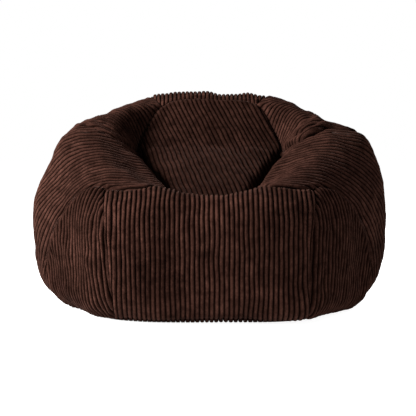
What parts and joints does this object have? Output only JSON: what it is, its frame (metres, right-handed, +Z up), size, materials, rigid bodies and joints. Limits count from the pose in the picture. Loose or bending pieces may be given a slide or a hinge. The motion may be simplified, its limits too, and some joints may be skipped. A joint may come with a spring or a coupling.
{
  "type": "bean bag chair",
  "caption": "Low bean bag chair with a dished seat, arm rolls and backrest, in a sewn wide-wale cord cover with a rear zip.",
  "frame": {"origin": "on the floor, at the middle of the bag's width and depth", "axes": "-Y is the front, +X is to the right seen from the front, +Z is up"},
  "size_m": [0.8496, 0.7757, 0.5149],
  "materials": {
    "cord_front": "matte",
    "cord_arm": "matte",
    "cord_back": "matte",
    "cord_seat": "matte",
    "cord_base": "matte",
    "label": "satin",
    "zip_tape": "matte",
    "zip_coil": "satin",
    "zip_metal": "satin",
    "liner": "matte",
    "beads": "matte"
  },
  "bodies": {
    "bag": {"front_panel": "cord_front", "front_left_panel": "cord_front", "front_right_panel": "cord_front", "left_arm_panel": "cord_arm", "right_arm_panel": "cord_arm", "left_shoulder_panel": "cord_arm", "right_shoulder_panel": "cord_arm", "back_panel": "cord_back", "back_skirt": "cord_back", "seat_panel": "cord_seat", "base_panel": "cord_base", "care_label": "label", "zip_upper_tape": "zip_tape", "zip_lower_tape": "zip_tape", "zip_upper_coil": "zip_coil", "zip_lower_coil": "zip_coil", "zip_end_stops": "zip_metal", "zip_guard": "liner", "liner_upper": "liner", "liner_lower": "liner", "liner_hook_tape": "zip_tape", "liner_loop_tape": "zip_tape", "bead_filling": "beads"},
    "slider": {"zip_slider": "zip_metal"},
    "pull": {"zip_pull": "zip_metal"}
  },
  "joints": [
    {"name": "zip_slide", "type": "slide", "parent": "bag", "child": "slider", "axis": [-1, 0, 0], "range_m": [0, 0.26]},
    {"name": "pull_hinge", "type": "hinge", "parent": "slider", "child": "pull", "pos_m": [0.138, 0.37635, 0.10325], "axis": [0, -0.18, -0.9837], "range_deg": [0, 170]}
  ]
}
